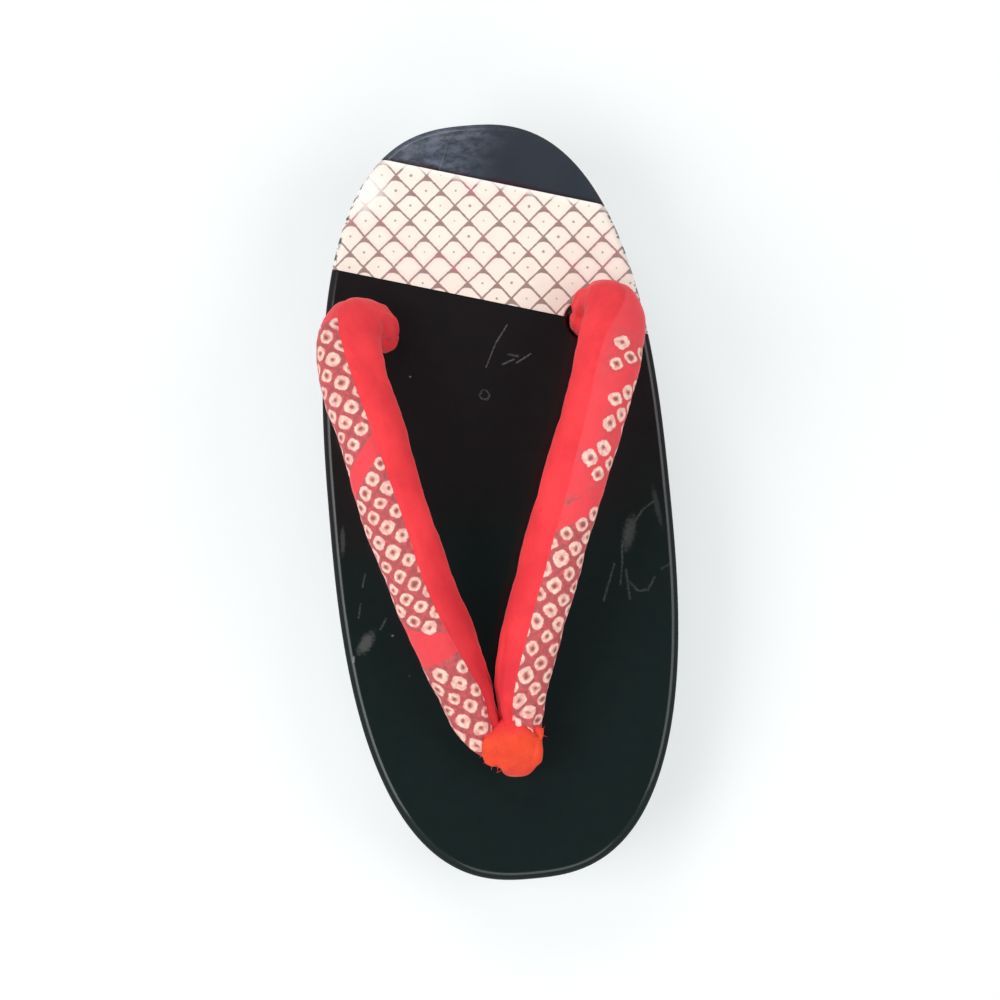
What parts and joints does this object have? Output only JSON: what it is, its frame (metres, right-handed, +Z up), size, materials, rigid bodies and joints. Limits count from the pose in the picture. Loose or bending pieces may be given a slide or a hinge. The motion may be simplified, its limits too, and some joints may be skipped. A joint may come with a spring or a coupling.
{
  "type": "wooden sandal",
  "caption": "Black-lacquered wooden sandal with an arched underside, a padded red V strap with a tie-dyed dot print, and a slanted printed band across the heel.",
  "frame": {"origin": "on the floor, under the middle of the sole's outline", "axes": "+X to the right of the pictured sandal, +Y from the toe to the heel, +Z up"},
  "size_m": [0.102, 0.225, 0.0797],
  "materials": {
    "black_lacquer": "gloss black lacquer, fine scratches and rubbed edges",
    "band_print": "cream print with a grey-brown lattice of small cells, semi-matt",
    "strap_cloth": "padded red cloth, plain inside and with cream tie-dyed rings outside",
    "thong_cloth": "orange-red woven cloth, matt",
    "knot_cord": "twisted red cord, matt"
  },
  "bodies": {
    "root": {"sole": "black_lacquer", "heel_band": "band_print", "straps": "strap_cloth", "toe_thong": "thong_cloth", "front_knot": "thong_cloth", "rear_knot_left": "knot_cord", "rear_knot_right": "knot_cord"}
  },
  "joints": []
}
